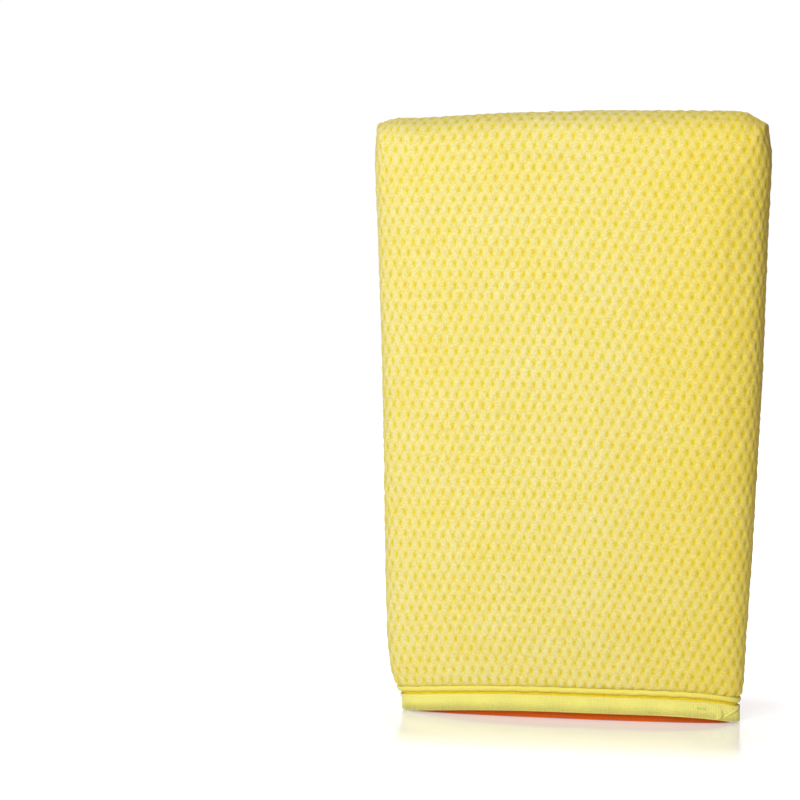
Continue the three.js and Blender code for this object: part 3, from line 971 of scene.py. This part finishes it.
# %% Seam allowance and its thread
TURNED_IN = ((1.4, -0.5), (1.4, -2.4), (8.2, -2.4), (8.2, -0.5))  # inwards and behind, in mm
allowance = np.stack([beside_seam(*corner) for corner in TURNED_IN], axis=1)
allowance = swept("seam_turnings", settled(allowance), closed=False)
place(allowance, "waffle_microfibre", "seam_allowance")
SEAM_STITCH, SEAM_STITCH_SIZE = 3.0 * MM, (2.5 * MM, 0.75 * MM, 0.75 * MM)
STITCH_SUNK = 0.45  # mm into the groove between the covers
seam_thread = path_object("seam_stitches", beside_seam(STITCH_SUNK, 0.0), closed=False)
grown(seam_thread, STITCH_ROW, "sewing_thread", Pitch=SEAM_STITCH, Size=SEAM_STITCH_SIZE)
place(seam_thread, "sewing_thread", "perimeter_seam_thread")

# %% [markdown]
# ## The cuff
# From the top down, a lip of piping, a stitched crease, and a ribbed elastic tape whose ends lap at the
# right of the front. Behind them the lining is turned down to the floor as a facing, so a strip of orange
# shows under the arched tape.

# %% Piping and crease
PIPING = (8.55, 0.7, 1.05)  # height, inset and radius in mm
PIPING_RIPPLE = 0.12
CORD = (5.4, 8.8, 1.2, 2.1, 0.3)  # low, high, outer, inner and rounding in mm
CREASE_Z, CREASE_INSET = 6.95 * MM, 1.2 * MM
CREASE_STITCH, CREASE_STITCH_SIZE = 2.3 * MM, (2.05 * MM, 0.45 * MM, 0.5 * MM)
piping = cuff_ring("piping_lip", round_section(*PIPING), ripple=PIPING_RIPPLE)
place(piping, "piping_cloth", "cuff_piping")
stitches = path_object("crease_stitches", outline(CREASE_Z, CREASE_INSET, 480), closed=True)
grown(stitches, STITCH_ROW, "sewing_thread", Pitch=CREASE_STITCH, Size=CREASE_STITCH_SIZE)
joined(stitches, cuff_ring("crease_cord", rounded_strip(*CORD)))
place(stitches, "sewing_thread", "cuff_stitch_row")

# %% Ribbed tape
RIB_PITCH, RIB_WIDE, RIB_DEEP = 0.62 * MM, 0.46 * MM, 0.4 * MM
RIB_SHORT, TAB_RIB_SHORT = 0.7, 1.4  # mm less than the tape is high
TAPE_TOP, TAPE_FACE, TAPE_BACK, TAPE_ROUND = 6.4, 0.22, 1.2, 0.4


def rib_size(short):
    return RIB_WIDE, RIB_DEEP, (TAPE_TOP - short) * MM


band = cuff_ring("ribbed_tape", rounded_strip(0.0, TAPE_TOP, TAPE_FACE, TAPE_BACK, TAPE_ROUND), count=480)
ribs = path_object("band_ribs", outline(TAPE_TOP / 2 * MM, (TAPE_FACE + 0.02) * MM, 960), closed=True)
grown(ribs, RIB_ROW, "ribbed_tape", Pitch=RIB_PITCH, Size=rib_size(RIB_SHORT))
joined(band, ribs)
place(band, "ribbed_tape", "cuff_band")

# %% Lapped end of the tape
END_FROM, END_TO = 34.0, 60.0  # mm round the cuff from the front middle
END_ROUND, END_LOW = 3.0, 0.5  # its rounding, and how much less high it is
LAP_BACK, LAP_ROUND, LEAST_HALF = 0.4, 0.18, 0.45
LAP_MIDDLE = TAPE_TOP / 2 - 0.1
LAP_PROUD, LAP_RISE = 0.75, 9.0  # it stands so far proud, and rises over so much


def tape_end():
    rings = []
    for run in np.linspace(END_FROM, END_TO, 60):
        to_end = min((END_TO - run) / END_ROUND, 1.0)
        half = max((TAPE_TOP - END_LOW) / 2 * math.sqrt(1 - (1 - to_end) ** 2), LEAST_HALF)
        proud = LAP_PROUD * smooth(END_FROM, END_FROM + LAP_RISE, run)
        section = rounded_strip(LAP_MIDDLE - half, LAP_MIDDLE + half, -proud, LAP_BACK, LAP_ROUND)
        rings.append([cuff_place(run * MM, z * MM, inset * MM) for z, inset in section])
    return swept("tape_lap", settled(rings), closed=False)


FOLD_START, FOLD_MOVE = (66.8, 5.2), (-5.6, -3.4)  # round the cuff and up, in mm
FOLD_WIDE, FOLD_SWELL = 2.3, 0.5
FOLD_SLANT = (0.60, 0.55)  # its width, shared between round the cuff and up
FOLD_INSET, FOLD_THICK = 0.35, 0.62


def folded_end():
    """The other end of the tape, turned under on the slant at the corner."""
    rings = []
    around = np.linspace(0, 2 * math.pi, 20)[:-1]
    for t in np.linspace(0, 1, 24):
        run, z = (start + move * t for start, move in zip(FOLD_START, FOLD_MOVE))
        wide = (FOLD_WIDE + FOLD_SWELL * math.sin(math.pi * t)) * np.cos(around)
        inset = FOLD_INSET - FOLD_THICK * np.sin(around)
        run, z = run + FOLD_SLANT[0] * wide, z + FOLD_SLANT[1] * wide
        rings.append(cuff_place(run * MM, z * MM, inset * MM))
    return swept("fold", settled(rings), closed=False)


tab = tape_end()
tab_run = np.linspace(END_FROM, END_TO - END_ROUND, 120)
tab_proud = LAP_PROUD * smooth(END_FROM, END_FROM + LAP_RISE, tab_run) - 0.02
tab_path = cuff_place(tab_run * MM, LAP_MIDDLE * MM, -tab_proud * MM)
tab_ribs = path_object("tab_ribs", tab_path, closed=False)
grown(tab_ribs, RIB_ROW, "ribbed_tape", Pitch=RIB_PITCH, Size=rib_size(TAB_RIB_SHORT))
joined(tab, tab_ribs, folded_end())
place(tab, "ribbed_tape", "band_end_tab")

# %% Bartack
TACK_FROM, TACK_TO, TACK_Z, TACK_PROUD = 50.5, 53.5, 4.5, 0.90
TACK_PITCH, TACK_SIZE = 0.3 * MM, (0.34 * MM, 0.22 * MM, 1.5 * MM)
tack_path = cuff_place(np.linspace(TACK_FROM, TACK_TO, 30) * MM, TACK_Z * MM, -TACK_PROUD * MM)
tack = path_object("tape_bartack", tack_path, closed=False)
grown(tack, RIB_ROW, "tape_thread", Pitch=TACK_PITCH, Size=TACK_SIZE)
place(tack, "tape_thread", "band_bartack", slot="sewing_thread")

# %% Facing
FACING_TOP, FACING_LONG = 14.3, 0.255  # millimetres, and metres round
FACING = (0.0, FACING_TOP, 3.5, 4.5, 0.35)
facing = cuff_ring("turned_facing", rounded_strip(*FACING), arched=False)
place(facing, "lining_cloth", "mouth_facing")

# %% [markdown]
# ## Studio
# A pale satin floor gives the faint reflection, and its gloss is gone ten centimetres out. The room looks
# white but gives little light, so a large soft light from the front left shapes the sides and the weave.

# %% Floor and lights
def board(name, corners):
    mesh = bpy.data.meshes.new(name)
    mesh.from_pydata(corners, [], [(0, 1, 2, 3)])
    return linked(name, mesh)


FLOOR_SIZE = 6.0
floor = board("studio_floor", [(x * FLOOR_SIZE, y * FLOOR_SIZE, -0.1 * MM)
                               for x, y in ((-1, -1), (1, -1), (1, 1), (-1, 1))])
floor_finish, floor_tree, floor_body = finish("white_acrylic", {
    "Base_Color": linear("#CFCFCF"), "IOR": 1.45, "Emission_Color": linear("#FFFFFF")})
# The floor glows less near the mitt's foot and more further out: a painted soft shade round the foot, on top
# of the real shadow and reflection. FADE sets where this glow rises as well as where the gloss fades.
FADE = (0.02, 0.10)  # metres out where the gloss begins to fade and is gone
GLOSS, ROUGH_NEAR, ROUGH_FAR = 0.5, 0.12, 0.4
GLOW_NEAR, GLOW_FAR = 0.34, 0.95  # keeps the floor white
BOUNCE = 0.30  # the glow that counts as light on the mitt
SIDE_HASTE = 4.0  # the gloss fades so much sooner at the sides
calc = calculator(floor_tree)
spot = add(floor_tree, "ShaderNodeSeparateXYZ", i0=spot_on(floor_tree)).outputs
beyond = [calc("MAXIMUM", calc("SUBTRACT", calc("ABSOLUTE", spot[k]), half), 0.0)
          for k, half in enumerate((HALF_WIDTH, HALF_DEPTH))]
beyond[0] = calc("MULTIPLY", beyond[0], SIDE_HASTE)
away = calc("SQRT", calc("ADD", *[calc("POWER", side, 2.0) for side in beyond]))


def faded(near, far):
    return out(floor_tree, "ShaderNodeMapRange", {"interpolation_type": "SMOOTHSTEP"}, Value=away,
               From_Min=FADE[0], From_Max=FADE[1], To_Min=near, To_Max=far)


bounce = add(floor_tree, "ShaderNodeLightPath").outputs["Is Diffuse Ray"]
# Painted shade: the glow seen directly is lowest near the mitt.
glow = out(floor_tree, "ShaderNodeMapRange", Value=bounce, To_Min=faded(GLOW_NEAR, GLOW_FAR), To_Max=BOUNCE)
floor_tree.links.new(glow, floor_body.inputs["Emission Strength"])
floor_tree.links.new(faded(GLOSS, 0.0), floor_body.inputs["Specular IOR Level"])
floor_tree.links.new(faded(ROUGH_NEAR, ROUGH_FAR), floor_body.inputs["Roughness"])
floor.data.materials.append(floor_finish)

# A dark board on the right takes the fill light off that side, so the mitt's edge reads clearly.
FLAG_X, FLAG_NEAR, FLAG_FAR, FLAG_TOP = 0.24, -0.16, 0.34, 0.46
flag = board("dark_board", [(FLAG_X, y, z) for y, z in ((FLAG_NEAR, 0.0), (FLAG_FAR, 0.0),
                                                        (FLAG_FAR, FLAG_TOP), (FLAG_NEAR, FLAG_TOP))])
flag.data.materials.append(finish("dark_card", {"Base_Color": linear("#5E4030"), "Roughness": 0.9})[0])
flag.visible_camera = False


LIGHTS = {  # where it hangs, its size in metres, its watts
    "key_light": ((-0.22, -1.7, 1.1), 1.2, 34.0), "rim_light": ((-0.3, 1.6, 1.1), 0.9, 12.0),
}
ROOM_FILL, ROOM_SEEN = 0.18, 1.02  # the room as light, and as seen
FILL_TINT, SEEN_TINT = linear("#FFF4F0"), linear("#FFFFFF")  # the walls' light is a little warm
for name, (spot, size, watts) in LIGHTS.items():
    data = bpy.data.lights.new(name, "AREA")
    data.shape, data.size, data.energy = "DISK", size, watts
    light = linked(name, data)
    light.location = spot
    aim = Vector((0, 0, TOP / 2)) - Vector(spot)
    light.rotation_euler = aim.to_track_quat("-Z", "Y").to_euler()
world = bpy.data.worlds.new("white_room")
scene.world = world
world.use_nodes = True
room = world.node_tree
room.nodes.clear()
seen = add(room, "ShaderNodeLightPath").outputs
either = calculator(room)("MAXIMUM", seen["Is Camera Ray"], seen["Is Glossy Ray"])
strength = out(room, "ShaderNodeMapRange", Value=either, To_Min=ROOM_FILL, To_Max=ROOM_SEEN)
tint = mixed(room, "MIX", either, FILL_TINT, SEEN_TINT)
back = out(room, "ShaderNodeBackground", Color=tint, Strength=strength)
add(room, "ShaderNodeOutputWorld", Surface=back)
scene.view_settings.view_transform = "Standard"
print("lights:", sorted(LIGHTS))
